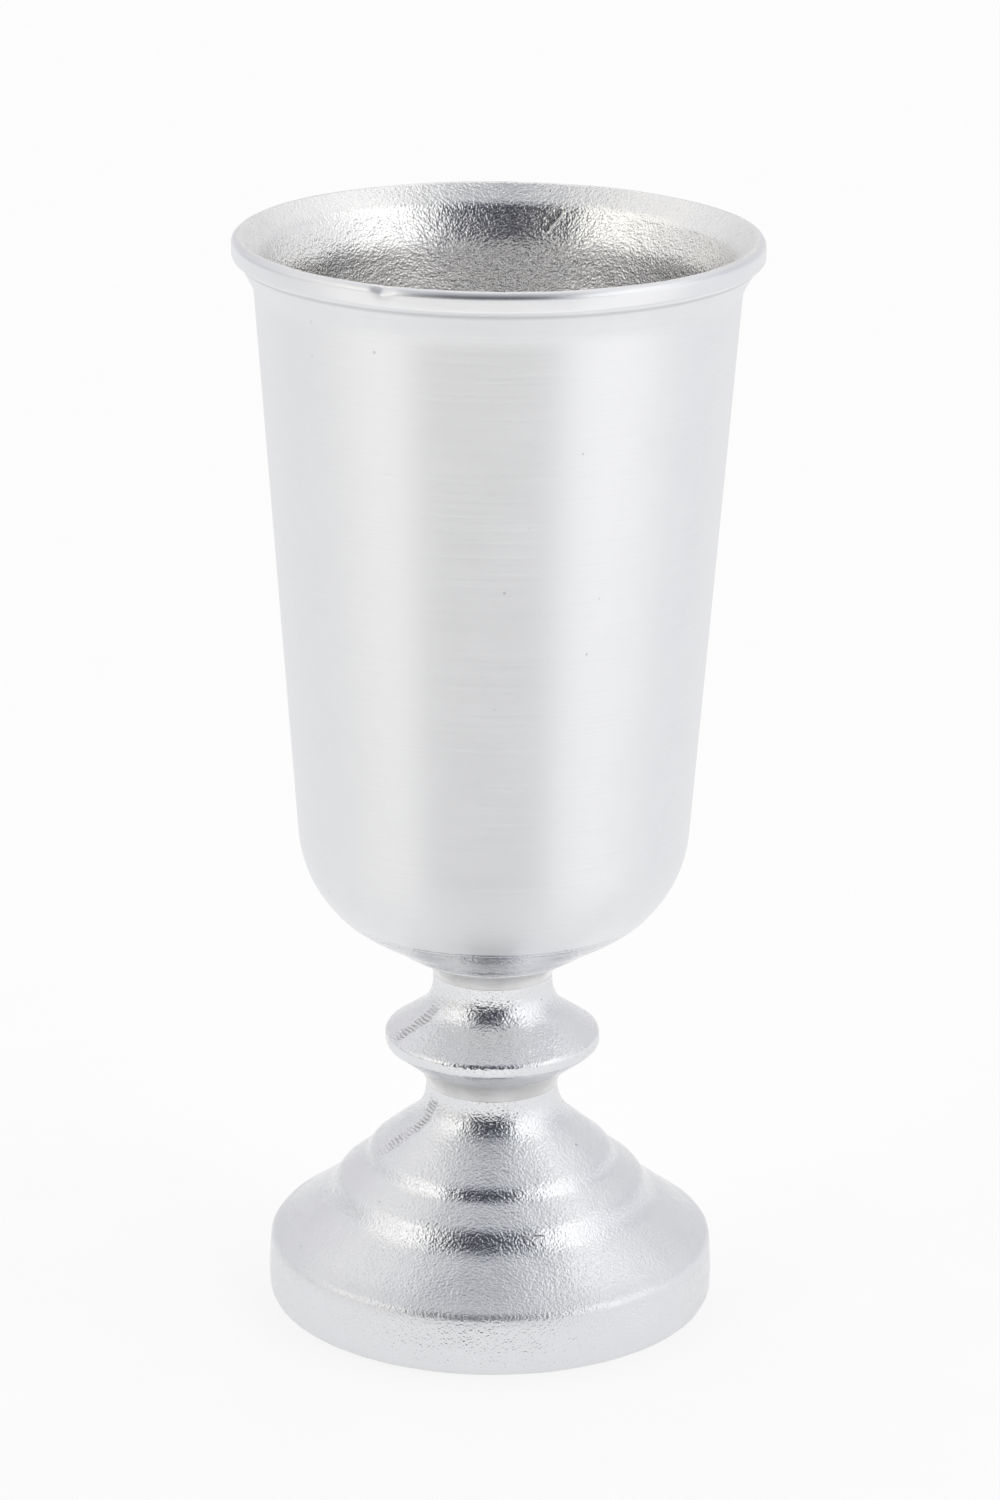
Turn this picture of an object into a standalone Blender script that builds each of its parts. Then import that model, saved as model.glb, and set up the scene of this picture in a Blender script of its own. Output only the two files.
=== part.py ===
"""Communion chalice in aluminium: a beaker-shaped cup, a flanged knop and a hollow bell foot, each
keyed into the next and drawn together by one stud with a nut and washers under the foot.

Metres, +Z up. The origin is the centre of the foot's resting face, and every piece is turned about Z.
Run with: blender --background --python part.py
"""

import math

import bmesh
import bpy
from mathutils import Matrix, Vector

MM = 0.001
GAP = 0.3 * MM  # clearance left wherever two pieces meet

# Driving dimensions: heights are above the resting face, radii are from the axis of the chalice.
HEIGHT = 172 * MM
LIP_RADIUS = 40.25 * MM
FOOT_RADIUS = 35.45 * MM
WALL = 3.0 * MM
FOOT_JOINT_Z = 35.6 * MM  # where the knop stands on the foot
CUP_JOINT_Z = 54.0 * MM  # where the cup stands on the knop
FOOT_NECK_RADIUS = 10.45 * MM
CUP_NECK_RADIUS = 9.45 * MM

# Cup
BOTTOM_CORNER = (29.8 * MM, 67.3 * MM)  # where the round bottom and the wall would meet
WALL_SLOPE = 0.0737  # growth of the wall's radius for each unit of height
WALL_RADIUS = 30.9 * MM  # outer radius of the wall at WALL_Z
WALL_Z = 82.0 * MM
CUP_FLOOR_Z = 64.0 * MM
LIP_UNDERSIDE_Z = 169.0 * MM
LIP_WIDTH = 2.25 * MM
FLARE_Z = 164.3 * MM  # where the wall turns out to the lip

# Knop
FLANGE_RADIUS = 17.0 * MM
FLANGE_Z = 43.0 * MM

# Foot: two soft steps, each with a tread and a riser, lead from the neck down to the rim
UPPER_STEP = (19.0 * MM, 24.2 * MM)
LOWER_STEP = (23.9 * MM, 19.8 * MM)
RISER_DROP = Vector((1.1, -2.1)) * MM  # from the top of the upper riser to its foot
RIM_TOP = (26.2 * MM, 16.4 * MM)  # inner end of the rim's sloping top
RIM_Z = 10.5 * MM  # height of the foot's outer shoulder
RIM_DRAFT = 0.4 * MM  # how far the shoulder stands inside the widest point
RIM_INNER_RADIUS = 31.4 * MM
SEAT_Z = 24.0 * MM  # underside face that the clamp washer bears on
SEAT_RADIUS = 13.2 * MM
HOLLOW_BEND = (23.6 * MM, 13.2 * MM)  # where the hollow turns from the stem to the rim

# Stud, nut and washers, M8
THREAD_RADIUS = 4.0 * MM
CLEARANCE_BORE = 4.5 * MM
STUD_LOW_Z = 11.0 * MM
STUD_HIGH_Z = 60.0 * MM
STUD_CHAMFER = 0.8 * MM
CLAMP_WASHER_RADIUS = 11.0 * MM
CLAMP_WASHER_THICK = 1.6 * MM
SPRING_WASHER_RADIUS = 7.4 * MM
SPRING_WASHER_THICK = 2.0 * MM
SPRING_WASHER_SPLIT = math.radians(14)
NUT_ACROSS_FLATS = 13.0 * MM
NUT_THICK = 6.5 * MM
NUT_CHAMFER = math.radians(30)

# Keyed spigots: a round plug with one flat, so the castings can't turn on each other
SPIGOT_RADIUS = 6.5 * MM
SPIGOT_FLAT = 5.7 * MM  # distance of the flat from the axis
SPIGOT_LENGTH = 5.1 * MM
SOCKET_RADIUS = SPIGOT_RADIUS + GAP
SOCKET_FLAT = SPIGOT_FLAT + GAP

# Sealing rings, each in a recess round a socket
SEAL_THICK = 0.5 * MM
SEAL_CLEARANCE = 0.3 * MM
UPPER_SEAL_RADIUS = 8.1 * MM
LOWER_SEAL_RADIUS = 8.9 * MM
SEAL_WIDTH = 1.1 * MM

FACETS = 40  # around the large castings
SMALL_FACETS = 28  # around the stud, nut and washers
ARC_STEP = math.radians(18)  # widest turn between two points of a rounded corner


def clear_scene():
    for thing in list(bpy.data.objects):
        bpy.data.objects.remove(thing, do_unlink=True)


def finish(name, colour, roughness, metallic):
    """A Principled material of one sub-part."""
    material = bpy.data.materials.new(name)
    material.use_nodes = True
    shader = material.node_tree.nodes["Principled BSDF"]
    shader.inputs["Base Color"].default_value = (*colour, 1.0)
    shader.inputs["Roughness"].default_value = roughness
    shader.inputs["Metallic"].default_value = metallic
    material.diffuse_color = (*colour, 1.0)
    return material


def rounded(corners):
    """Points through corners given as (radius, height) or (radius, height, fillet radius)."""
    path = []
    for index, corner in enumerate(corners):
        here = Vector(corner[:2])
        if len(corner) == 2:
            path.append(here)
            continue
        back = (Vector(corners[index - 1][:2]) - here).normalized()
        ahead = (Vector(corners[index + 1][:2]) - here).normalized()
        turn = math.pi - back.angle(ahead)
        reach = corner[2] * math.tan(turn / 2)
        centre = here + (back + ahead).normalized() * math.hypot(corner[2], reach)
        spoke = here + back * reach - centre
        side = 1 if back.x * ahead.y - back.y * ahead.x < 0 else -1
        steps = max(2, math.ceil(turn / ARC_STEP))
        for step in range(steps + 1):
            path.append(centre + Matrix.Rotation(side * turn * step / steps, 2) @ spoke)
    return path


def object_from(name, bm, material):
    """Turns an edited mesh into a smooth-shaded object whose faces point out."""
    bmesh.ops.remove_doubles(bm, verts=bm.verts, dist=0.0001 * MM)
    bmesh.ops.recalc_face_normals(bm, faces=bm.faces)
    mesh = bpy.data.meshes.new(name)
    bm.to_mesh(mesh)
    bm.free()
    mesh.shade_smooth()
    mesh.set_sharp_from_angle(angle=math.radians(35))
    mesh.materials.append(material)
    piece = bpy.data.objects.new(name, mesh)
    bpy.context.collection.objects.link(piece)
    return piece


def turned_mesh(corners, facets, loop):
    """Spins an outline once round Z. A loop joins its last point to its first."""
    bm = bmesh.new()
    points = [bm.verts.new((point.x, 0, point.y)) for point in rounded(corners)]
    edges = [bm.edges.new(pair) for pair in zip(points, points[1:])]
    if loop:
        edges.append(bm.edges.new((points[-1], points[0])))
    bmesh.ops.spin(
        bm,
        geom=points + edges,
        axis=(0, 0, 1),
        cent=(0, 0, 0),
        angle=math.tau,
        steps=facets,
        use_merge=True,
    )
    return bm


def key_flat(bm, low, high, radius, flat):
    """Planes a flat on the +X side of a plug or socket of this radius between two heights."""
    margin = 0.05 * MM
    for vert in bm.verts:
        on_plug = abs(math.hypot(vert.co.x, vert.co.y) - radius) < margin
        if on_plug and low - margin < vert.co.z < high + margin:
            vert.co.x = min(vert.co.x, flat)


def cup(material):
    wall_top = WALL_RADIUS + WALL_SLOPE * (FLARE_Z - WALL_Z)
    spigot_end = CUP_JOINT_Z - SPIGOT_LENGTH
    bore = THREAD_RADIUS + GAP
    outline = [
        (0, STUD_HIGH_Z + GAP),
        (bore, STUD_HIGH_Z + GAP),
        (bore, spigot_end),
        (SPIGOT_RADIUS, spigot_end),
        (SPIGOT_RADIUS, CUP_JOINT_Z),
        (CUP_NECK_RADIUS, CUP_JOINT_Z),
        (CUP_NECK_RADIUS, CUP_JOINT_Z + 1.2 * MM, 2 * MM),
        (*BOTTOM_CORNER, 19.5 * MM),
        (wall_top, FLARE_Z, 6 * MM),
        (LIP_RADIUS, LIP_UNDERSIDE_Z, 1 * MM),
        (LIP_RADIUS, HEIGHT, 0.7 * MM),
        (LIP_RADIUS - LIP_WIDTH, HEIGHT, 1.5 * MM),
        (wall_top - WALL, FLARE_Z, 10 * MM),
        (BOTTOM_CORNER[0] - WALL, BOTTOM_CORNER[1] + 2 * MM, 14 * MM),
        (0, CUP_FLOOR_Z),
    ]
    bm = turned_mesh(outline, FACETS, loop=False)
    key_flat(bm, spigot_end, CUP_JOINT_Z, SPIGOT_RADIUS, SPIGOT_FLAT)
    return object_from("cup", bm, material)


def knop(material):
    spigot_end = FOOT_JOINT_Z - SPIGOT_LENGTH
    top = CUP_JOINT_Z - GAP
    recess = top - SEAL_THICK - SEAL_CLEARANCE
    socket_end = CUP_JOINT_Z - SPIGOT_LENGTH - GAP
    outline = [
        (CLEARANCE_BORE, spigot_end),
        (SPIGOT_RADIUS, spigot_end),
        (SPIGOT_RADIUS, FOOT_JOINT_Z),
        (FOOT_NECK_RADIUS, FOOT_JOINT_Z),
        (FOOT_NECK_RADIUS + 0.2 * MM, FOOT_JOINT_Z + 1.1 * MM, 2.5 * MM),
        (FLANGE_RADIUS, FLANGE_Z - 0.9 * MM, 1 * MM),
        (FLANGE_RADIUS, FLANGE_Z + 0.9 * MM, 1 * MM),
        (CUP_NECK_RADIUS, FLANGE_Z + 6.2 * MM, 6.2 * MM),
        (CUP_NECK_RADIUS, top),
        (UPPER_SEAL_RADIUS + GAP, top),
        (UPPER_SEAL_RADIUS + GAP, recess),
        (SOCKET_RADIUS, recess),
        (SOCKET_RADIUS, socket_end),
        (CLEARANCE_BORE, socket_end),
    ]
    bm = turned_mesh(outline, FACETS, loop=True)
    key_flat(bm, spigot_end, FOOT_JOINT_Z, SPIGOT_RADIUS, SPIGOT_FLAT)
    key_flat(bm, socket_end, recess, SOCKET_RADIUS, SOCKET_FLAT)
    return object_from("knop", bm, material)


def foot(material):
    top = FOOT_JOINT_Z - GAP
    recess = top - SEAL_THICK - SEAL_CLEARANCE
    socket_end = FOOT_JOINT_Z - SPIGOT_LENGTH - GAP
    outline = [
        (CLEARANCE_BORE, SEAT_Z),
        (SEAT_RADIUS, SEAT_Z),
        (SEAT_RADIUS, SEAT_Z - 1 * MM),
        (*HOLLOW_BEND, 5 * MM),
        (RIM_INNER_RADIUS, RIM_Z - 3.2 * MM, 2 * MM),
        (RIM_INNER_RADIUS, 0),
        (FOOT_RADIUS - 0.6 * MM, 0),
        (FOOT_RADIUS - 0.05 * MM, 1.0 * MM),
        (FOOT_RADIUS, 4.5 * MM),
        (FOOT_RADIUS - RIM_DRAFT, RIM_Z, 2.9 * MM),
        (*RIM_TOP, 2 * MM),
        (*LOWER_STEP, 1 * MM),
        (*(Vector(UPPER_STEP) + RISER_DROP), 1 * MM),
        (*UPPER_STEP, 0.8 * MM),
        (FOOT_NECK_RADIUS, FOOT_JOINT_Z - 4.4 * MM, 7.5 * MM),
        (FOOT_NECK_RADIUS, top),
        (LOWER_SEAL_RADIUS + GAP, top),
        (LOWER_SEAL_RADIUS + GAP, recess),
        (SOCKET_RADIUS, recess),
        (SOCKET_RADIUS, socket_end),
        (CLEARANCE_BORE, socket_end),
    ]
    bm = turned_mesh(outline, FACETS, loop=True)
    key_flat(bm, socket_end, recess, SOCKET_RADIUS, SOCKET_FLAT)
    return object_from("foot", bm, material)


def ring(name, inner, outer, low, high, material):
    """A flat ring, as a washer or a seal."""
    outline = [(inner, low), (outer, low), (outer, high), (inner, high)]
    return object_from(name, turned_mesh(outline, SMALL_FACETS, loop=True), material)


def tie_rod(material):
    outline = [
        (0, STUD_LOW_Z),
        (THREAD_RADIUS - STUD_CHAMFER, STUD_LOW_Z),
        (THREAD_RADIUS, STUD_LOW_Z + STUD_CHAMFER),
        (THREAD_RADIUS, STUD_HIGH_Z - STUD_CHAMFER),
        (THREAD_RADIUS - STUD_CHAMFER, STUD_HIGH_Z),
        (0, STUD_HIGH_Z),
    ]
    return object_from("tie_rod", turned_mesh(outline, SMALL_FACETS, loop=False), material)


def spring_washer(low, high, material):
    """A ring with one radial cut, shown pressed flat by the nut."""
    inner = THREAD_RADIUS + GAP
    bm = bmesh.new()
    section = [(inner, low), (SPRING_WASHER_RADIUS, low), (SPRING_WASHER_RADIUS, high), (inner, high)]
    start = bm.faces.new([bm.verts.new((radius, 0, height)) for radius, height in section])
    bmesh.ops.spin(
        bm,
        geom=[start],
        axis=(0, 0, 1),
        cent=(0, 0, 0),
        angle=math.tau - SPRING_WASHER_SPLIT,
        steps=SMALL_FACETS,
    )
    return object_from("spring_washer", bm, material)


def hex_nut(low, high, material):
    """A hexagonal prism with its corners turned off at both ends and a round bore."""
    corner = NUT_ACROSS_FLATS / math.sqrt(3)
    bpy.ops.mesh.primitive_cylinder_add(
        vertices=6, radius=corner, depth=high - low, location=(0, 0, (low + high) / 2)
    )
    nut = bpy.context.object
    nut.name = "hex_nut"
    nut.data.materials.append(material)
    drop = (corner - NUT_ACROSS_FLATS / 2) * math.tan(NUT_CHAMFER) + 0.1 * MM
    flat = NUT_ACROSS_FLATS / 2 - 0.1 * MM
    wide = corner + 1 * MM
    slope = drop / (corner - flat) * (wide - flat)
    barrel_outline = [
        (THREAD_RADIUS + GAP, low - 1 * MM),
        (flat, low - 1 * MM),
        (flat, low),
        (wide, low + slope),
        (wide, high - slope),
        (flat, high),
        (flat, high + 1 * MM),
        (THREAD_RADIUS + GAP, high + 1 * MM),
    ]
    barrel = object_from("nut_barrel", turned_mesh(barrel_outline, SMALL_FACETS, loop=True), material)
    barrel.hide_render = True
    barrel.display_type = "WIRE"
    keep = nut.modifiers.new("turned_ends_and_bore", "BOOLEAN")
    keep.operation = "INTERSECT"
    keep.solver = "EXACT"
    keep.object = barrel
    return nut


def build():
    clear_scene()
    cast_aluminium = finish("cast_aluminium", (0.80, 0.81, 0.83), 0.34, 1.0)
    turned_aluminium = finish("turned_aluminium", (0.84, 0.85, 0.87), 0.30, 1.0)
    zinc_steel = finish("zinc_plated_steel", (0.62, 0.63, 0.65), 0.32, 1.0)
    nylon = finish("nylon", (0.78, 0.77, 0.72), 0.55, 0.0)

    cup(turned_aluminium)
    knop(cast_aluminium)
    foot(cast_aluminium)

    for name, outer, joint in (
        ("upper_seal", UPPER_SEAL_RADIUS, CUP_JOINT_Z),
        ("lower_seal", LOWER_SEAL_RADIUS, FOOT_JOINT_Z),
    ):
        high = joint - GAP
        ring(name, outer - SEAL_WIDTH, outer, high - SEAL_THICK, high, nylon)

    tie_rod(zinc_steel)
    clamp_high = SEAT_Z - GAP
    clamp_low = clamp_high - CLAMP_WASHER_THICK
    ring("clamp_washer", THREAD_RADIUS + GAP, CLAMP_WASHER_RADIUS, clamp_low, clamp_high, zinc_steel)
    spring_high = clamp_low - GAP
    spring_low = spring_high - SPRING_WASHER_THICK
    spring_washer(spring_low, spring_high, zinc_steel)
    nut_high = spring_low - GAP
    hex_nut(nut_high - NUT_THICK, nut_high, zinc_steel)


build()
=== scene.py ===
"""Looks of the communion chalice: a satin turned cup with a tumbled casting for its knop and foot, and the
stud, nut and washers that draw them together. Metres, +Z up, the resting face at Z = 0.
"""

import math

import bpy
from mathutils import Matrix, Vector


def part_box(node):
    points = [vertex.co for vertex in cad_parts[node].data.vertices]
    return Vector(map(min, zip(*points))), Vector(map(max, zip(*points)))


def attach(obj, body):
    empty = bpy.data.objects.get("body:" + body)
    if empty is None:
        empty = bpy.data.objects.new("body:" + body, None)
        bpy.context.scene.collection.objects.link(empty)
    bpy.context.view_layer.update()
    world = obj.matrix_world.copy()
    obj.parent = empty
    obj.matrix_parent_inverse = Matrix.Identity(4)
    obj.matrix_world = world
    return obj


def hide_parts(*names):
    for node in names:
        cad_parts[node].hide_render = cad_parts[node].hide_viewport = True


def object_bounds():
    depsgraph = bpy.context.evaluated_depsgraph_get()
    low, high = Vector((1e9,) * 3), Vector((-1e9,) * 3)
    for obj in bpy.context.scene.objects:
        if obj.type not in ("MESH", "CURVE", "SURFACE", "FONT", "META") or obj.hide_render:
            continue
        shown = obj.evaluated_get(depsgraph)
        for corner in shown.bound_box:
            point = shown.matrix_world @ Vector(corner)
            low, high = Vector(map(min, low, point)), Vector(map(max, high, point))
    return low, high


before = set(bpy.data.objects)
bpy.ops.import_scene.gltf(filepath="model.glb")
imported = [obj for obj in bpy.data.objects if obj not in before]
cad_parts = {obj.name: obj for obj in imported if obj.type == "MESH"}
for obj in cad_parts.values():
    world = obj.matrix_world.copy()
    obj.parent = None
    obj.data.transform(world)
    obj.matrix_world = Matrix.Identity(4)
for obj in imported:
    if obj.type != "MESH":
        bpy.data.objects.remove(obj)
cad_low, cad_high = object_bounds()
cup_low, cup_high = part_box("cup")
knop_low, knop_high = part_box("knop")
_, foot_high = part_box("foot")
rod_low, rod_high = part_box("tie_rod")
clamp_low, clamp_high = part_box("clamp_washer")
spring_low, spring_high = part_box("spring_washer")
nut_low, nut_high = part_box("hex_nut")

MM = 0.001
HEIGHT = cad_high.z

# Joints: the solids stand a gap apart, which closes here to a hairline
CUP_JOINT = knop_high.z + 0.3 * MM
FOOT_JOINT = foot_high.z + 0.3 * MM
HAIRLINE = 0.02 * MM
SPIGOT_LENGTH = CUP_JOINT - cup_low.z
SPIGOT_RADIUS = 6.5 * MM
SPIGOT_SLACK = 0.15 * MM

# Radii and heights that the finishes share with the shapes
NECK_BAND = 3.4 * MM  # how far the turned band reaches above each joint
NECK_BAND_TOP = CUP_JOINT + NECK_BAND
UNDERSIDE_TOP = 65.5 * MM
LIP = cup_high.x
WALL_SLOPE = 0.0737
WALL_RADIUS = 30.9 * MM  # outside, at WALL_Z
WALL_Z = 82 * MM
WALL_THICK = 3 * MM
CUP_NECK = 9.45 * MM
CUP_FLOOR = 64 * MM
BOTTOM_CORNER = (29.8 * MM, 67.3 * MM)
FLARE_Z = 164.3 * MM
LIP_UNDERSIDE = 169.0 * MM
CREASE_Z = LIP_UNDERSIDE - 0.8 * MM  # under the lip, where a dark line of painted shade is laid along the crease
FLANGE = knop_high.x
FLANGE_Z = 43 * MM
FOOT_NECK = 10.45 * MM
FOOT = foot_high.x
RIM_Z = 9.7 * MM
RIM_INNER = 31.4 * MM
RIM_TOP = (26.0 * MM, 16.2 * MM)
LOWER_STEP = (24.1 * MM, 19.4 * MM)
UPPER_STEP = (19.0 * MM, 24.2 * MM)
RISER_DROP = Vector((1.0, -1.8)) * MM
HOLLOW_BEND = (23.6 * MM, 13.2 * MM)
SEAT_Z = clamp_high.z + 0.3 * MM
SEAT_RADIUS = 13.2 * MM
BORE = 4.5 * MM
THREAD = rod_high.x
THREAD_PITCH = 1.25 * MM
THREAD_DEPTH = 0.62 * MM

# A small knock on the lip: where it is, measured from the front towards +X, how wide and how deep
KNOCK_AZIMUTH = math.radians(-24.5)
KNOCK_RADIUS = 1.9 * MM
KNOCK_DEPTH = 0.4 * MM

# How finely the pieces are turned
TURNS = 256  # facets around the castings
WASHER_TURNS = 96
STUD_TURNS = 64
ARC_STEP = math.radians(6)
RUN = 0.9 * MM  # longest straight run between two rings
WELD = 0.002 * MM
EDGE_ANGLE = math.radians(40)  # a sharper edge than this stays an edge

# ---------------------------------------------------------------- modelling


def rounded(corners, run=RUN):
    """Points through (radius, height) corners, a third value being the corner's fillet radius."""
    path = []
    for index, corner in enumerate(corners):
        here = Vector(corner[:2])
        if len(corner) == 2:
            path.append(here)
            continue
        back = (Vector(corners[index - 1][:2]) - here).normalized()
        ahead = (Vector(corners[index + 1][:2]) - here).normalized()
        turn = math.pi - back.angle(ahead)
        reach = corner[2] * math.tan(turn / 2)
        centre = here + (back + ahead).normalized() * math.hypot(corner[2], reach)
        spoke = here + back * reach - centre
        side = 1 if back.x * ahead.y - back.y * ahead.x < 0 else -1
        steps = max(3, math.ceil(turn / ARC_STEP))
        for step in range(steps + 1):
            path.append(centre + Matrix.Rotation(side * turn * step / steps, 2) @ spoke)
    spaced = [path[0]]
    for start, end in zip(path, path[1:]):
        count = max(1, math.ceil((end - start).length / run))
        spaced += [start.lerp(end, step / count) for step in range(1, count + 1)]
    return spaced


def clear_selection():
    """Everything deselected, in object mode."""
    if bpy.context.object and bpy.context.object.mode == "EDIT":
        bpy.ops.object.mode_set(mode="OBJECT")
    bpy.ops.object.select_all(action="DESELECT")


def pick(piece):
    """This piece alone selected, and active."""
    clear_selection()
    bpy.context.view_layer.objects.active = piece
    piece.select_set(True)


def draw_outline(name, points):
    """A single point, extruded along an outline in the XZ plane. Leaves the piece in edit mode."""
    clear_selection()
    bpy.ops.mesh.primitive_plane_add(size=MM, location=(0, 0, 0))
    piece = bpy.context.object
    piece.name = piece.data.name = name
    bpy.ops.object.mode_set(mode="EDIT")
    bpy.ops.mesh.select_mode(type="VERT")
    bpy.ops.mesh.select_all(action="SELECT")
    bpy.ops.mesh.merge(type="CENTER")
    bpy.ops.transform.translate(value=(points[0].x, 0, points[0].y))
    for start, end in zip(points, points[1:]):
        step = end - start
        bpy.ops.mesh.extrude_region_move(TRANSFORM_OT_translate={"value": (step.x, 0, step.y)})
    return piece


def spin_and_close(facets, angle=math.tau):
    """Spins the outline in edit mode about Z, then merges, faces outwards and smooths what it made."""
    bpy.ops.mesh.select_all(action="SELECT")
    bpy.ops.mesh.spin(steps=facets, angle=angle, center=(0, 0, 0), axis=(0, 0, 1))
    bpy.ops.mesh.select_all(action="SELECT")
    bpy.ops.mesh.remove_doubles(threshold=WELD)
    bpy.ops.mesh.normals_make_consistent(inside=False)
    bpy.ops.object.mode_set(mode="OBJECT")
    bpy.ops.object.shade_smooth_by_angle(angle=EDGE_ANGLE)


def turned(name, corners, facets=TURNS, run=RUN):
    """A piece turned about Z from its outline. An outline off the axis ends where it starts."""
    piece = draw_outline(name, rounded(corners, run))
    spin_and_close(facets)
    return piece


def hand_worked(piece, weight, waves):
    """Unevenness left by casting and filing, as (depth, size) waves. weight(co) is 0 on a turned face."""
    group = piece.vertex_groups.new(name="uneven")
    for vert in piece.data.vertices:
        group.add([vert.index], weight(vert.co), "REPLACE")
    for index, (depth, size) in enumerate(waves):
        texture = bpy.data.textures.new(f"{piece.name}_wave_{index}", "CLOUDS")
        texture.noise_scale = size
        texture.noise_depth = 1
        press = piece.modifiers.new(f"wave_{index}", "DISPLACE")
        press.texture = texture
        press.texture_coords = "LOCAL"
        press.strength = depth
        press.mid_level = 0.5
        press.vertex_group = "uneven"
        pick(piece)
        bpy.ops.object.modifier_apply(modifier=press.name)
    piece.vertex_groups.clear()


def smooth(low, high, value):
    """Goes smoothly from 0 to 1 as value goes from low to high."""
    t = min(1, max(0, (value - low) / (high - low)))
    return t * t * (3 - 2 * t)


def wear(piece, finishes, choose):
    """Gives a piece its finishes, and each face the one that choose(radius, height, outward) names."""
    names = list(finishes)
    for finish in finishes.values():
        piece.data.materials.append(finish)
    for face in piece.data.polygons:
        radius = math.hypot(face.center.x, face.center.y)
        outward = (face.normal.x * face.center.x + face.normal.y * face.center.y) / max(radius, MM)
        face.material_index = names.index(choose(radius, face.center.z, outward))


def coat(piece, finish):
    """Gives a piece one finish all over."""
    wear(piece, {"all over": finish}, lambda radius, height, outward: "all over")


def fit(piece, slot, *nodes):
    """Puts a finished piece in the place of the solids it stands for."""
    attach(piece, "root")
    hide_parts(*nodes)


# ---------------------------------------------------------------- finishes


BRIGHTEST = 2.0  # what full white stands for in the room


def level(colour):
    """A colour of the room, which may be brighter than white, as a share of the brightest."""
    return (*(part / BRIGHTEST for part in colour), 1.0)


class Value:
    """An output of a node. Arithmetic on it adds Math nodes to the same tree."""

    def __init__(self, shop, socket):
        self.shop = shop
        self.socket = socket

    def __add__(self, other):
        return self.shop.maths("ADD", self, other)

    __radd__ = __add__

    def __sub__(self, other):
        return self.shop.maths("SUBTRACT", self, other)

    def __rsub__(self, other):
        return self.shop.maths("SUBTRACT", other, self)

    def __mul__(self, other):
        return self.shop.maths("MULTIPLY", self, other)

    __rmul__ = __mul__

    def __truediv__(self, other):
        return self.shop.maths("DIVIDE", self, other)

    def __neg__(self):
        return self.shop.maths("MULTIPLY", self, -1.0)


def lay_stops(ramp, stops):
    """Sets a ramp that runs round the room, so that its two ends meet behind in one colour."""
    first, last = stops[0][1], stops[-1][1]
    seam = level([(a + b) / 2 for a, b in zip(first, last)])
    ramp.elements[0].color = ramp.elements[1].color = seam
    for degrees, colour in stops:
        ramp.elements.new(degrees / 360 + 0.5).color = level(colour)


class Shop:
    """Builds nodes in one tree: a finish of the chalice, or the studio around it."""

    def __init__(self, tree):
        self.tree = tree

    def node(self, kind, settings, sockets, output=0):
        """A new node, its settings made first and its sockets then set or linked."""
        node = self.tree.nodes.new(kind)
        for name, value in settings.items():
            if name == "stops":
                lay_stops(node.color_ramp, value)
            else:
                setattr(node, name, value)
        for name, value in sockets.items():
            self.feed(node.inputs[name], value)
        return Value(self, node.outputs[output])

    def feed(self, socket, value):
        """Links a value to a socket, or sets the socket where the value is the same all over."""
        if isinstance(value, Value):
            self.tree.links.new(value.socket, socket)
        else:
            socket.default_value = value

    def maths(self, operation, *values):
        return self.node("ShaderNodeMath", {"operation": operation}, dict(enumerate(values)))

    def vector(self, operation, sockets, output="Vector"):
        return self.node("ShaderNodeVectorMath", {"operation": operation}, sockets, output)

    def place(self, output="Object"):
        return self.node("ShaderNodeTexCoord", {}, {}, output)

    def split(self, vector):
        return [self.node("ShaderNodeSeparateXYZ", {}, {0: vector}, axis) for axis in "XYZ"]

    def stretch(self, vector, scale):
        return self.node("ShaderNodeMapping", {}, {"Vector": vector, "Scale": scale})

    def noise(self, vector, scale, detail=2.0, roughness=0.5, distortion=0.0):
        sockets = {
            "Vector": vector,
            "Scale": scale,
            "Detail": detail,
            "Roughness": roughness,
            "Distortion": distortion,
        }
        return self.node("ShaderNodeTexNoise", {}, sockets)

    def cells(self, vector, scale, feature="F1"):
        return self.node("ShaderNodeTexVoronoi", {"feature": feature}, {"Vector": vector, "Scale": scale})

    def ease(self, value, low, high, start=0.0, end=1.0):
        """Goes smoothly from start to end as value goes from low to high."""
        sockets = {"Value": value, "From Min": low, "From Max": high, "To Min": start, "To Max": end}
        return self.node("ShaderNodeMapRange", {"interpolation_type": "SMOOTHSTEP"}, sockets)

    def shade(self, factor, first, second):
        """A colour between two others."""
        # Inputs 6 and 7 and output 2 of a Mix node are its colours
        return self.node("ShaderNodeMix", {"data_type": "RGBA"}, {0: factor, 6: first, 7: second}, 2)

    def scar(self, place, start, end, width):
        """1 along the line between two points in millimetres, and 0 beyond its half width."""
        start = Vector(start) * MM
        along = Vector(end) * MM - start
        reach = self.vector("SUBTRACT", {0: place, 1: start})
        share = self.vector("DOT_PRODUCT", {0: reach, 1: along}, "Value") / along.length_squared
        share = self.maths("MINIMUM", self.maths("MAXIMUM", share, 0.0), 1.0)
        nearest = self.vector("SCALE", {0: along, "Scale": share})
        distance = self.vector("DISTANCE", {0: reach, 1: nearest}, "Value")
        return self.ease(distance, width * 0.4 * MM, width * MM, 1.0, 0.0)

    def round_about(self, azimuth, stops):
        """A colour that changes from stop to stop round the room. azimuth is 0 behind and 0.5 in front."""
        return self.node("ShaderNodeValToRGB", {"stops": stops}, {0: azimuth})

    def bump(self, height, distance):
        """Relief of this height, in shares of distance."""
        return self.node("ShaderNodeBump", {}, {"Strength": 1.0, "Distance": distance, "Height": height})


ACROSS_THE_LATHE = 0.25  # a quarter turn: grooves that run round spread a reflection up and down


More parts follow.
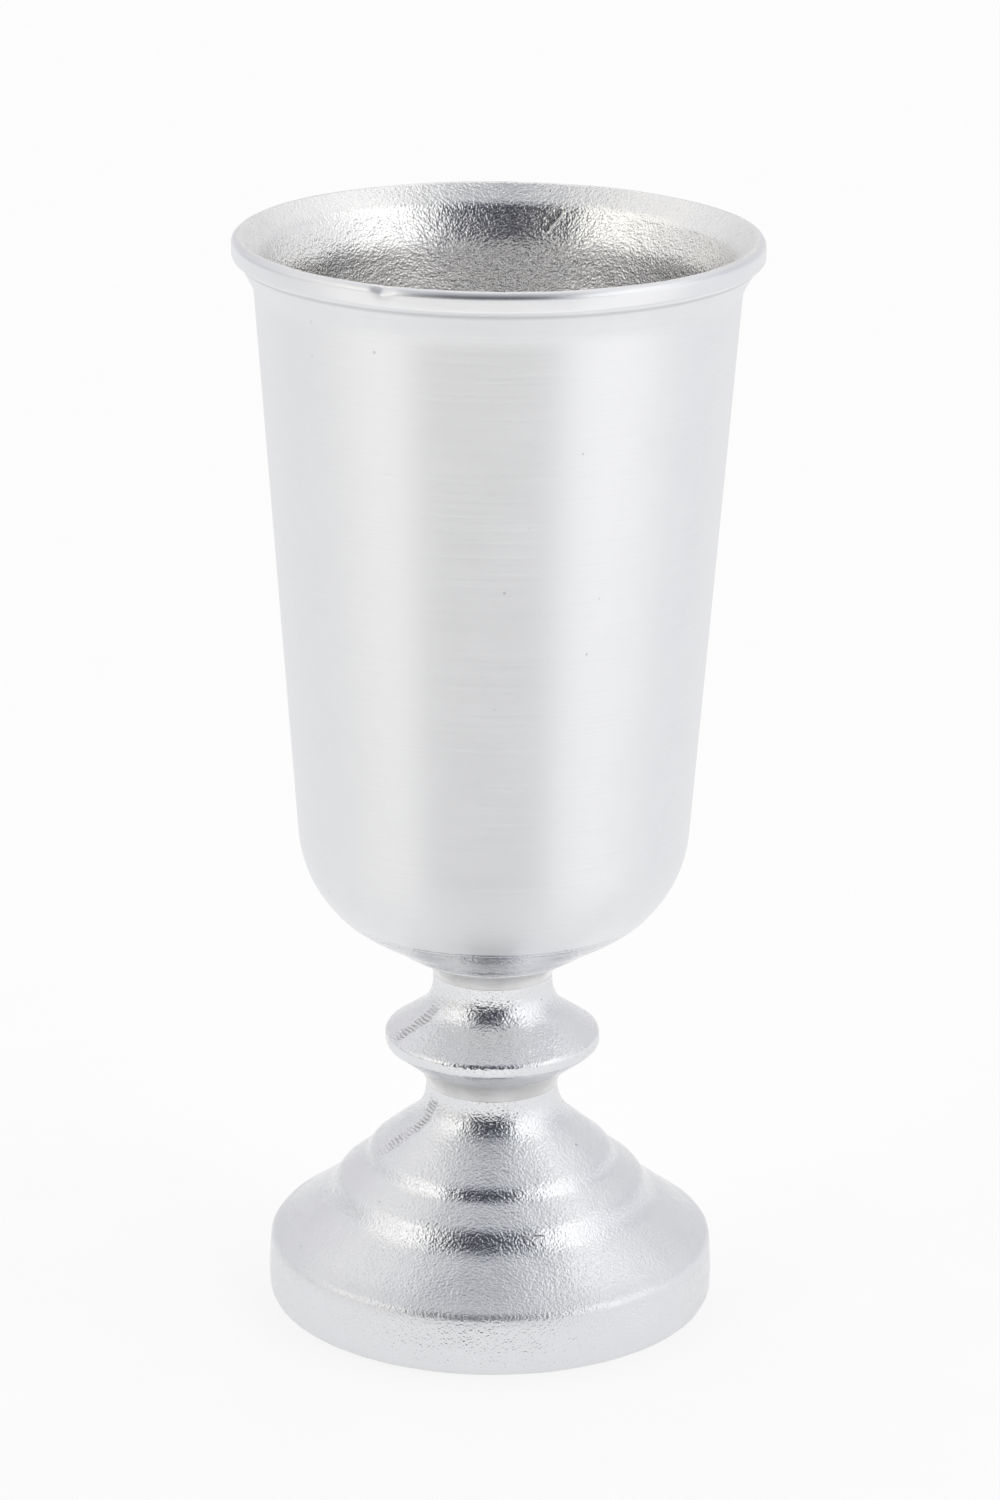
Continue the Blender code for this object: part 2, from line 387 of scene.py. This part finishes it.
class Finish(Shop):
    """A metal or plastic finish: one Principled shader and what varies over it."""

    def __init__(self, name, metallic=1.0):
        self.material = bpy.data.materials.new(name)
        self.material.use_nodes = True
        super().__init__(self.material.node_tree)
        self.shader = self.tree.nodes["Principled BSDF"]
        self.shader.inputs["Metallic"].default_value = metallic

    def done(self, colour, roughness, normal=None, anisotropic=0.0):
        self.feed(self.shader.inputs["Base Color"], colour)
        self.feed(self.shader.inputs["Roughness"], roughness)
        if normal is not None:
            self.feed(self.shader.inputs["Normal"], normal)
        self.shader.inputs["Anisotropic"].default_value = anisotropic
        self.shader.inputs["Anisotropic Rotation"].default_value = ACROSS_THE_LATHE
        return self.material


ALUMINIUM = (0.87, 0.877, 0.892, 1.0)
ALUMINIUM_DULL = (0.72, 0.728, 0.75, 1.0)
CAST_ALUMINIUM = (0.77, 0.776, 0.797, 1.0)
CAST_INNER = (0.90, 0.894, 0.882, 1.0)
# Dark grey for pinholes and dirt, and also for the painted shade in the crease under the lip
PIT_AND_SHADE = (0.30, 0.30, 0.31, 1.0)
SCAR = (0.14, 0.14, 0.15, 1.0)


def turned_satin(name, roughness, anisotropic, tinge=ALUMINIUM):
    """The outside of the cup: fine lathe lines all round, with faint cloudiness, a few pinholes and a line of
    painted shade in the crease under the lip.
    """
    f = Finish(name)
    place = f.place()
    z = f.split(place)[2]
    line = f.noise(f.stretch(place, (45, 45, 5200)), 1.0, 3.0, 0.6)
    feed = f.noise(f.stretch(place, (14, 14, 900)), 1.0, 2.0, 0.6)
    cloud = f.noise(place, 120.0, 4.0, 0.6)
    grain = f.noise(place, 2600.0, 2.0, 0.6)
    hole = f.ease(f.cells(place, 260.0), 0.045, 0.075, 1.0, 0.0)
    rare = f.ease(f.noise(place, 55.0, 1.0), 0.60, 0.64)
    pinhole = hole * rare
    bright = f.shade(f.ease(cloud * 0.5 + line * 0.5, 0.3, 0.7), ALUMINIUM_DULL, tinge)
    bright = f.shade(0.35, tinge, bright)
    colour = f.shade(pinhole * 0.4, bright, PIT_AND_SHADE)
    # Painted shade: the colour is darkened in a thin line along the crease under the lip
    crease_shade = f.ease(f.maths("ABSOLUTE", z - CREASE_Z), 0.1 * MM, 0.5 * MM, 1.0, 0.0)
    colour = f.shade(crease_shade * 0.3, colour, PIT_AND_SHADE)
    rough = roughness + (line - 0.5) * 0.16 + (cloud - 0.5) * 0.10
    normal = f.bump(line * 0.7 + feed * 0.6 + grain * 0.25 - pinhole * 1.5, 0.008 * MM)
    return f.done(colour, rough, normal, anisotropic)


# Flaws left by the mould and by handling: start, end and half width in millimetres
CUP_SCARS = (((9.75, 34.05, 168.2), (7.35, 33.7, 165.3), 0.6),)
CASTING_SCARS = (
    ((12.0, -7.9, 28.9), (13.9, -7.4, 26.6), 0.16),
    ((4.9, -24.3, 18.5), (8.3, -23.4, 18.4), 0.22),
)


PARTING_AZIMUTH = math.radians(-46)  # where the mould halves met, measured from the front towards +X
PARTING_DRIFT = math.radians(-1.4) / MM  # and how far round it wanders with each metre of radius
STROKE_PITCH = 0.62 * MM
STROKE_WANDER = 7.0  # radians
FILED_HALF_WIDTH = (0.9 * MM, 1.5 * MM)  # where the filed band starts to fade, and where it ends
FILED_EDGE_WANDER = 1.8 * MM
SHOULDER = (7.0 * MM, 9.0 * MM, 10.5 * MM, 12.5 * MM)  # heights between which the foot's rim is rubbed duller


def filed_parting(f, place):
    """File strokes over the line that the mould left on knop and foot: their height, and the dirt in them."""
    x, y, z = f.split(place)
    ragged = f.noise(place, 700.0, 2.0)
    radius = f.vector("LENGTH", {0: f.stretch(place, (1, 1, 0))}, "Value")
    parting = PARTING_AZIMUTH + radius * PARTING_DRIFT
    across = (f.maths("ARCTAN2", x, -y) - parting) * radius
    across = f.maths("ABSOLUTE", across + (ragged - 0.5) * FILED_EDGE_WANDER)
    on_foot = f.ease(z, 23 * MM, 27 * MM) * f.ease(z, 33 * MM, 35 * MM, 1.0, 0.0)
    on_knop = f.ease(z, 43 * MM, 44.5 * MM) * f.ease(z, 48.5 * MM, 51 * MM, 1.0, 0.0)
    filed = f.ease(across, *FILED_HALF_WIDTH, 1.0, 0.0) * (on_foot + on_knop)
    down = (radius - z) / math.sqrt(2)
    stroke = f.maths("SINE", down * (math.tau / STROKE_PITCH) + ragged * STROKE_WANDER)
    dirt = f.ease(stroke, 0.0, 0.9) * filed * f.ease(f.noise(place, 330.0, 2.0), 0.32, 0.52)
    return stroke * filed, dirt


def wandering(f, place):
    """The place moved about a little, so that a straight flaw turns ragged."""
    aside = f.node("ShaderNodeTexNoise", {}, {"Vector": place, "Scale": 500.0, "Detail": 3.0}, "Color")
    aside = f.vector("SUBTRACT", {0: aside, 1: (0.5, 0.5, 0.5)})
    aside = f.vector("SCALE", {0: aside, "Scale": 1.4 * MM})
    return f.vector("ADD", {0: place, 1: aside})


def cast_skin(name, roughness, lumps, scars=(), ringed=False, tinge=CAST_ALUMINIUM):
    """As cast and tumbled: a pebbled skin that sparkles where it mirrors an edge between light and dark."""
    f = Finish(name)
    place = f.place()
    z = f.split(place)[2]
    pebble = f.cells(place, 2100.0, "SMOOTH_F1")
    grain = f.noise(place, 3000.0, 1.0, 0.5, 0.3)
    coarse = f.noise(place, 700.0, 3.0, 0.55)
    cloud = f.noise(place, 90.0, 3.0, 0.6)
    hole = f.ease(f.cells(place, 420.0), 0.05, 0.11, 1.0, 0.0)
    rare = f.ease(f.noise(place, 150.0, 1.0), 0.60, 0.66)
    pinhole = hole * rare
    strokes, dirt = filed_parting(f, place)
    height = grain + pebble * 0.6 + coarse * lumps - pinhole * 0.6 + strokes
    if ringed:
        height = height + f.noise(f.stretch(place, (20, 20, 2600)), 1.0, 2.0) * 1.6
    bright = f.shade(f.ease(grain * 0.5 + cloud * 0.5, 0.32, 0.62), ALUMINIUM_DULL, tinge)
    bright = f.shade(0.45, tinge, bright)
    colour = f.shade(pinhole * 0.45, bright, PIT_AND_SHADE)
    colour = f.shade(dirt * 0.6, colour, PIT_AND_SHADE)
    if scars:
        ragged_place = wandering(f, place)
        scarred = sum(f.scar(ragged_place, *scar) for scar in scars)
        colour = f.shade(scarred * f.ease(coarse, 0.4, 0.55, 0.25, 0.8), colour, SCAR)
        height = height - scarred * 2.0
    shoulder = f.ease(z, *SHOULDER[:2]) * f.ease(z, *SHOULDER[2:], 1.0, 0.0)
    rough = roughness + shoulder * 0.2 + (cloud - 0.5) * 0.10 + (grain - 0.5) * 0.08 + dirt * 0.15
    return f.done(colour, rough, f.bump(height, 0.095 * MM))


def machined(name):
    """A faced or turned band: smooth, with faint rings."""
    f = Finish(name)
    place = f.place()
    line = f.noise(f.stretch(place, (60, 60, 4200)), 1.0, 2.0)
    cloud = f.noise(place, 150.0, 3.0)
    colour = f.shade(f.ease(cloud, 0.35, 0.65), (0.86, 0.857, 0.848, 1.0), (0.72, 0.717, 0.705, 1.0))
    return f.done(colour, 0.33 + (line - 0.5) * 0.12, f.bump(line, 0.006 * MM), 0.4)


def zinc_plate():
    """Bright zinc on the stud, nut and washers, clouded by handling."""
    f = Finish("zinc_plate")
    place = f.place()
    crystal = f.noise(place, 1400.0, 3.0, 0.6)
    patch = f.noise(place, 260.0, 3.0, 0.6)
    colour = f.shade(f.ease(patch, 0.35, 0.65), (0.60, 0.61, 0.60, 1.0), (0.68, 0.69, 0.72, 1.0))
    return f.done(colour, 0.26 + (patch - 0.5) * 0.25, f.bump(crystal, 0.01 * MM))


def nylon_seal():
    """The off-white of the two seals."""
    f = Finish("nylon_seal", metallic=0.0)
    grain = f.noise(f.place(), 1800.0, 3.0)
    colour = f.shade(grain, (0.74, 0.73, 0.68, 1.0), (0.82, 0.81, 0.77, 1.0))
    return f.done(colour, 0.5 + (grain - 0.5) * 0.1, f.bump(grain, 0.01 * MM))


# ---------------------------------------------------------------- pieces


def dented(piece, point, radius, depth):
    """A small knock, which pushes the metal round a point down and in."""
    for vert in piece.data.vertices:
        near = (vert.co - point).length / radius
        if near < 1:
            push = depth * (1 - near * near) ** 2
            vert.co.z -= push
            vert.co.x *= 1 - push / LIP
            vert.co.y *= 1 - push / LIP


# Steps left by the tool: how far out along the bottom from the neck, and how deep, in millimetres
TOOL_STEPS = ((3.1, 0.0), (3.3, 0.16), (4.2, 0.16), (4.4, 0.02), (5.6, 0.02), (5.8, 0.12), (6.5, 0.12))


def underside_rings():
    """Corners of the shallow steps that the lathe tool left where the cup's bottom meets its neck."""
    start = Vector((CUP_NECK + 0.45 * MM, CUP_JOINT + 1.6 * MM))
    along = (Vector(BOTTOM_CORNER) - start).normalized()
    down = Vector((along.y, -along.x))
    corners = []
    for reach, depth in TOOL_STEPS:
        corners.append((*(start + (along * reach + down * depth) * MM), 0.1 * MM))
    corners.append((*(start + along * 6.8 * MM), 0.15 * MM))
    return corners


def cup_shell():
    """The beaker, turned outside and as cast inside, with the boss under it that takes the stud."""
    wall_top = WALL_RADIUS + WALL_SLOPE * (FLARE_Z - WALL_Z)
    bore = THREAD + 0.1 * MM
    face = CUP_JOINT - 0.15 * MM + HAIRLINE / 2
    corners = [
        (0, rod_high.z + 0.3 * MM),
        (bore, rod_high.z + 0.3 * MM),
        (bore, cup_low.z),
        (SPIGOT_RADIUS, cup_low.z),
        (SPIGOT_RADIUS, face),
        (CUP_NECK, face, 0.03 * MM),
        (CUP_NECK + 0.45 * MM, CUP_JOINT + 1.6 * MM, 4.0 * MM),
        *underside_rings(),
        (*BOTTOM_CORNER, 19.5 * MM),
        (wall_top, FLARE_Z, 6 * MM),
        (LIP - 1.1 * MM, CREASE_Z, 0.4 * MM),
        (LIP, LIP_UNDERSIDE, 0.7 * MM),
        (LIP, HEIGHT, 1.1 * MM),
        (LIP - 1.4 * MM, HEIGHT, 0.6 * MM),
        (LIP - 4.5 * MM, HEIGHT - 2.8 * MM, 3.0 * MM),
        (wall_top - WALL_THICK, FLARE_Z - 0.8 * MM, 12 * MM),
        (BOTTOM_CORNER[0] - WALL_THICK, BOTTOM_CORNER[1] + 2 * MM, 14 * MM),
        (0, CUP_FLOOR),
    ]
    piece = turned("cup_shell", corners, run=1.4 * MM)

    def uneven(co):
        radius = math.hypot(co.x, co.y)
        wall = WALL_RADIUS + WALL_SLOPE * (co.z - WALL_Z)
        inside = 1 - smooth(wall - 2.4 * MM, wall - 1.2 * MM, radius)
        lip = smooth(LIP_UNDERSIDE - 3 * MM, LIP_UNDERSIDE, co.z)
        return max(inside * smooth(62 * MM, 66 * MM, co.z), 0.8 * lip)

    def choose(radius, height, outward):
        if height < NECK_BAND_TOP:
            return "neck"
        if height > CUP_FLOOR - MM and outward < 0.3:
            return "inside"
        if height > LIP_UNDERSIDE:
            return "lip"
        return "under" if height < UNDERSIDE_TOP else "wall"

    finishes = {
        "wall": TURNED,
        "lip": TURNED_LIP,
        "inside": CAST_INSIDE,
        "under": CAST_RINGED,
        "neck": MACHINED,
    }
    wear(piece, finishes, choose)
    hand_worked(piece, uneven, [(0.22 * MM, 11 * MM), (0.10 * MM, 4 * MM)])
    knock = Vector((LIP * math.sin(KNOCK_AZIMUTH), -LIP * math.cos(KNOCK_AZIMUTH), HEIGHT))
    dented(piece, knock, KNOCK_RADIUS, KNOCK_DEPTH)
    fit(piece, "turned_aluminium", "cup")


def knop_casting():
    """The stem piece with its one flange, cast, with turned ends."""
    top = CUP_JOINT - 0.15 * MM - HAIRLINE / 2
    face = FOOT_JOINT - 0.15 * MM + HAIRLINE / 2
    corners = [
        (BORE, knop_low.z),
        (SPIGOT_RADIUS, knop_low.z),
        (SPIGOT_RADIUS, face),
        (FOOT_NECK, face, 0.03 * MM),
        (FOOT_NECK + 0.5 * MM, FOOT_JOINT + 1.8 * MM, 5.2 * MM),
        (FLANGE, FLANGE_Z - 0.9 * MM, 1 * MM),
        (FLANGE, FLANGE_Z + 0.9 * MM, 1 * MM),
        (CUP_NECK, FLANGE_Z + 6.2 * MM, 6.2 * MM),
        (CUP_NECK, top, 0.03 * MM),
        (8.4 * MM, top),
        (8.4 * MM, top - 0.95 * MM),
        (SPIGOT_RADIUS + SPIGOT_SLACK, top - 0.95 * MM),
        (SPIGOT_RADIUS + SPIGOT_SLACK, CUP_JOINT - SPIGOT_LENGTH - 0.3 * MM),
        (BORE, CUP_JOINT - SPIGOT_LENGTH - 0.3 * MM),
        (BORE, knop_low.z),
    ]
    piece = turned("knop_casting", corners, run=0.7 * MM)

    def uneven(co):
        return smooth(FOOT_JOINT + 0.3 * MM, FOOT_JOINT + 3 * MM, co.z) * (
            1 - smooth(top - 3 * MM, top - 0.3 * MM, co.z)
        )

    def choose(radius, height, outward):
        low_band = height < FOOT_JOINT + NECK_BAND
        return "machined" if low_band or radius < SPIGOT_RADIUS + MM else "cast"

    wear(piece, {"cast": CAST, "machined": MACHINED}, choose)
    hand_worked(piece, uneven, [(0.22 * MM, 8 * MM), (0.09 * MM, 3 * MM)])
    fit(piece, "cast_aluminium", "knop")


def foot_casting():
    """The bell of the foot with its two soft steps, hollow, with a flat seat for the washer."""
    top = FOOT_JOINT - 0.15 * MM - HAIRLINE / 2
    corners = [
        (BORE, SEAT_Z),
        (SEAT_RADIUS, SEAT_Z),
        (SEAT_RADIUS, SEAT_Z - 1 * MM),
        (*HOLLOW_BEND, 5 * MM),
        (RIM_INNER, 7.3 * MM, 2 * MM),
        (RIM_INNER, 0, 0.3 * MM),
        (FOOT - 0.5 * MM, 0, 0.25 * MM),
        (FOOT - 0.05 * MM, 1.0 * MM, 1.5 * MM),
        (FOOT, 4 * MM, 12 * MM),
        (FOOT - 0.4 * MM, RIM_Z, 1.9 * MM),
        (*RIM_TOP, 6 * MM),
        (*LOWER_STEP, 4 * MM),
        (*(Vector(UPPER_STEP) + RISER_DROP), 3 * MM),
        (*UPPER_STEP, 3.5 * MM),
        (FOOT_NECK, FOOT_JOINT - 4.4 * MM, 7.5 * MM),
        (FOOT_NECK, top, 0.03 * MM),
        (9.2 * MM, top),
        (9.2 * MM, top - 0.95 * MM),
        (SPIGOT_RADIUS + SPIGOT_SLACK, top - 0.95 * MM),
        (SPIGOT_RADIUS + SPIGOT_SLACK, knop_low.z - 0.3 * MM),
        (BORE, knop_low.z - 0.3 * MM),
        (BORE, SEAT_Z),
    ]
    piece = turned("foot_casting", corners, run=0.8 * MM)

    def uneven(co):
        radius = math.hypot(co.x, co.y)
        seat = smooth(SEAT_RADIUS - MM, SEAT_RADIUS, radius) if co.z < SEAT_Z + MM else 1
        return smooth(0.3 * MM, 3 * MM, co.z) * (1 - smooth(top - 3 * MM, top - 0.3 * MM, co.z)) * seat

    def choose(radius, height, outward):
        seat = radius < SEAT_RADIUS and height < SEAT_Z + 0.2 * MM
        return "machined" if seat or height < 0.2 * MM or radius < SPIGOT_RADIUS + MM else "cast"

    wear(piece, {"cast": CAST, "machined": MACHINED}, choose)
    hand_worked(piece, uneven, [(0.42 * MM, 13 * MM), (0.12 * MM, 4.5 * MM)])
    fit(piece, "cast_aluminium", "foot")


def threaded_stud():
    """The stud on the axis, its thread pressed into a turned rod."""
    chamfer = 0.8 * MM
    corners = [
        (0, rod_low.z),
        (THREAD - chamfer, rod_low.z),
        (THREAD, rod_low.z + chamfer),
        (THREAD, rod_high.z - chamfer),
        (THREAD - chamfer, rod_high.z),
        (0, rod_high.z),
    ]
    piece = turned("threaded_stud", corners, STUD_TURNS, THREAD_PITCH / 8)
    for vert in piece.data.vertices:
        radius = math.hypot(vert.co.x, vert.co.y)
        if radius < THREAD - THREAD_DEPTH:
            continue
        turn = vert.co.z / THREAD_PITCH - math.atan2(vert.co.y, vert.co.x) / math.tau
        groove = 1 - abs(2 * (turn % 1) - 1)
        crest = THREAD - THREAD_DEPTH * min(1, max(0, 1.25 * groove - 0.125))
        if radius > crest:
            vert.co.x *= crest / radius
            vert.co.y *= crest / radius
    coat(piece, ZINC)
    fit(piece, "zinc_steel", "tie_rod")


def clamp_disc():
    """The plain washer, stamped, so its lower edge is rounded and its upper edge square."""
    bore = THREAD + 0.3 * MM
    corners = [
        (bore, clamp_high.z),
        (bore, clamp_low.z, 0.15 * MM),
        (clamp_high.x, clamp_low.z, 0.5 * MM),
        (clamp_high.x, clamp_high.z, 0.1 * MM),
        (bore, clamp_high.z),
    ]
    piece = turned("clamp_disc", corners, WASHER_TURNS, 1 * MM)
    coat(piece, ZINC)
    fit(piece, "zinc_steel", "clamp_washer")


def split_ring():
    """The spring washer: a square section swept almost once round, its two ends a little apart."""
    bore = THREAD + 0.3 * MM
    gap = math.radians(14)
    wide = spring_high.x - bore
    thick = spring_high.z - spring_low.z
    middle = Vector((bore + wide / 2, 0, spring_low.z + thick / 2))
    clear_selection()
    bpy.ops.mesh.primitive_plane_add(size=1, location=(0, 0, 0), rotation=(math.pi / 2, 0, 0))
    piece = bpy.context.object
    piece.name = piece.data.name = "split_ring"
    bpy.ops.object.transform_apply(rotation=True)
    bpy.ops.object.mode_set(mode="EDIT")
    bpy.ops.mesh.select_all(action="SELECT")
    bpy.ops.transform.resize(value=(wide, 1, thick))
    bpy.ops.transform.translate(value=middle)
    bpy.ops.mesh.bevel(offset=0.2 * MM, segments=3, affect="VERTICES")
    spin_and_close(72, math.tau - gap)
    coat(piece, ZINC)
    fit(piece, "zinc_steel", "spring_washer")


def nut():
    """A hexagon cut by a turned barrel, which takes the corners off both ends and bores it."""
    corner = nut_high.y
    flat = corner * math.cos(math.pi / 6)
    middle = (nut_low.z + nut_high.z) / 2
    clear_selection()
    bpy.ops.mesh.primitive_cylinder_add(
        vertices=6, radius=corner, depth=nut_high.z - nut_low.z, location=(0, 0, middle)
    )
    piece = bpy.context.object
    piece.name = piece.data.name = "hexagon_nut"
    bpy.ops.object.transform_apply(location=True)
    bore = THREAD + 0.05 * MM
    drop = 0.75 * MM
    wide = corner + MM
    slope = drop / (corner - flat) * (wide - flat)
    barrel = turned(
        "nut_barrel",
        [
            (bore + 0.5 * MM, nut_low.z - MM),
            (flat - 0.1 * MM, nut_low.z - MM),
            (flat - 0.1 * MM, nut_low.z),
            (wide, nut_low.z + slope),
            (wide, nut_high.z - slope),
            (flat - 0.1 * MM, nut_high.z),
            (flat - 0.1 * MM, nut_high.z + MM),
            (bore + 0.5 * MM, nut_high.z + MM),
            (bore + 0.5 * MM, nut_high.z),
            (bore, nut_high.z - 0.5 * MM),
            (bore, nut_low.z + 0.5 * MM),
            (bore + 0.5 * MM, nut_low.z),
            (bore + 0.5 * MM, nut_low.z - MM),
        ],
        WASHER_TURNS,
        3 * MM,
    )
    cut = piece.modifiers.new("barrel", "BOOLEAN")
    cut.operation = "INTERSECT"
    cut.object = barrel
    soften = piece.modifiers.new("soften", "BEVEL")
    soften.width = 0.12 * MM
    soften.segments = 2
    soften.limit_method = "ANGLE"
    soften.angle_limit = math.radians(28)
    pick(piece)
    bpy.ops.object.modifier_apply(modifier=cut.name)
    bpy.ops.object.modifier_apply(modifier=soften.name)
    bpy.data.objects.remove(barrel)
    bpy.ops.object.shade_smooth_by_angle(angle=math.radians(30))
    piece.data.materials.clear()
    coat(piece, ZINC)
    fit(piece, "zinc_steel", "hex_nut")


# ---------------------------------------------------------------- studio


def floor():
    """A wide pale floor a hair under the foot, lit from within and a little brighter in front."""
    clear_selection()
    bpy.ops.mesh.primitive_circle_add(vertices=96, radius=9, fill_type="NGON", location=(0, 0, -0.03 * MM))
    piece = bpy.context.object
    piece.name = "floor"
    f = Finish("floor_white", metallic=0.0)
    place = f.place()
    y = f.split(place)[1]
    grain = f.noise(place, 40.0, 2.0)
    f.shader.inputs["Specular IOR Level"].default_value = 0.0
    f.shader.inputs["Emission Strength"].default_value = 1.0
    near_front = f.ease(y, -0.25, -0.12, 1.0, 0.0)
    glow = f.shade(near_front, (0.775, 0.774, 0.772, 1.0), (1.06, 1.05, 1.02, 1.0))
    f.feed(f.shader.inputs["Emission Color"], glow)
    f.done(f.shade(grain, (0.26, 0.26, 0.26, 1.0), (0.24, 0.24, 0.24, 1.0)), 0.9)
    piece.data.materials.append(f.material)


# The room that the metal mirrors, from the floor up: (azimuth in degrees from the front towards +X, colour)
LOW_WALLS = (
    (-157, (0.85, 0.85, 0.87)),
    (-115, (0.62, 0.62, 0.62)),
    (-80, (0.70, 0.68, 0.63)),
    (-60, (0.55, 0.52, 0.46)),
    (-44, (0.35, 0.34, 0.33)),
    (-35, (0.16, 0.16, 0.17)),
    (26, (0.17, 0.18, 0.20)),
    (36, (0.50, 0.51, 0.56)),
    (58, (1.02, 1.01, 1.06)),
    (80, (1.26, 1.25, 1.27)),
    (115, (0.93, 0.93, 0.95)),
    (157, (0.82, 0.82, 0.85)),
)
SOFTBOXES = (
    (-157, (0.78, 0.77, 0.78)),
    (-115, (0.92, 0.92, 0.94)),
    (-80, (1.12, 1.11, 1.09)),
    (-60, (1.56, 1.54, 1.49)),
    (-44, (1.40, 1.39, 1.36)),
    (-38, (0.06, 0.06, 0.07)),
    (28, (0.05, 0.05, 0.07)),
    (34, (1.42, 1.43, 1.45)),
    (58, (1.50, 1.49, 1.46)),
    (80, (1.14, 1.14, 1.15)),
    (115, (0.71, 0.72, 0.76)),
    (157, (0.87, 0.86, 0.86)),
)
SOFTBOX_TOPS = (
    (-157, (1.05, 1.03, 1.06)),
    (-115, (0.92, 0.92, 0.90)),
    (-80, (1.17, 1.14, 1.07)),
    (-60, (1.15, 1.15, 1.12)),
    (-46, (0.90, 0.90, 0.90)),
    (-37, (0.10, 0.10, 0.12)),
    (28, (0.10, 0.11, 0.14)),
    (36, (0.90, 0.93, 0.97)),
    (58, (1.36, 1.35, 1.33)),
    (80, (1.50, 1.48, 1.43)),
    (115, (1.00, 1.00, 1.01)),
    (157, (0.94, 0.93, 0.96)),
)
CEILING = (
    (-100, (0.88, 0.88, 0.89)),
    (-35, (0.44, 0.45, 0.48)),
    (0, (0.34, 0.35, 0.385)),
    (35, (0.46, 0.48, 0.51)),
    (100, (1.08, 1.08, 1.09)),
    (179, (1.18, 1.17, 1.17)),
)

OVERHEAD = (0.56, 0.565, 0.59)
BACKDROP = (1.0, 1.0, 1.0)
# Heights in degrees between which each band takes over from the one under it
BANDS = ((SOFTBOXES, 5, 18), (SOFTBOX_TOPS, 28, 42), (CEILING, 48, 58))
OVERHEAD_RISE = (68, 80)


def studio_air():
    """Two softboxes either side of a dark gap where the camera stands, pale walls and a greyer ceiling."""
    world = bpy.data.worlds.new("studio")
    world.use_nodes = True
    bpy.context.scene.world = world
    s = Shop(world.node_tree)
    x, y, z = s.split(s.place("Generated"))
    azimuth = s.maths("ARCTAN2", x, -y) / math.tau + 0.5
    height = s.maths("ARCSINE", z)
    room = s.round_about(azimuth, LOW_WALLS)
    for stops, start, end in BANDS:
        rise = s.ease(height, math.radians(start), math.radians(end))
        room = s.shade(rise, room, s.round_about(azimuth, stops))
    rise = s.ease(height, *(math.radians(degrees) for degrees in OVERHEAD_RISE))
    room = s.shade(rise, room, level(OVERHEAD))
    seen = s.node("ShaderNodeLightPath", {}, {}, "Is Camera Ray")
    background = s.tree.nodes["Background"]
    s.feed(background.inputs["Color"], s.shade(seen, room, level(BACKDROP)))
    s.feed(background.inputs["Strength"], BRIGHTEST)


def camera():
    """A long lens looking down on the chalice from the front, a hair off level."""
    elevation = math.radians(18.2)
    distance = 4.423 * HEIGHT
    roll = math.radians(0.5)
    aim = Vector((0.856 * MM, 0, 0.525 * HEIGHT))
    back = Vector((0, -math.cos(elevation), math.sin(elevation)))
    eye = bpy.data.cameras.new("camera")
    eye.lens = 117.3
    eye.sensor_width = 36
    eye.clip_start = 0.05
    eye.clip_end = 60
    stand = bpy.data.objects.new("camera", eye)
    bpy.context.scene.collection.objects.link(stand)
    turn = back.to_track_quat("Z", "Y").to_matrix() @ Matrix.Rotation(roll, 3, "Z")
    stand.matrix_world = Matrix.Translation(aim + back * distance) @ turn.to_4x4()
    bpy.context.scene.camera = stand


camera()
studio_air()
floor()

TURNED = turned_satin("turned_satin", 0.42, 0.88)
TURNED_LIP = turned_satin("turned_lip", 0.34, 0.5, CAST_ALUMINIUM)
CAST = cast_skin("cast_skin", 0.18, 0.5, CASTING_SCARS)
CAST_INSIDE = cast_skin("cast_inside", 0.21, 0.95, CUP_SCARS, tinge=CAST_INNER)
CAST_RINGED = cast_skin("cast_ringed", 0.18, 0.5, ringed=True)
MACHINED = machined("machined_band")
ZINC = zinc_plate()

cup_shell()
knop_casting()
foot_casting()
threaded_stud()
clamp_disc()
split_ring()
nut()
for name in ("upper_seal", "lower_seal"):
    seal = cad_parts[name]
    seal.data.materials.clear()
    seal.data.materials.append(nylon_seal())

bpy.context.scene.view_settings.view_transform = "Standard"
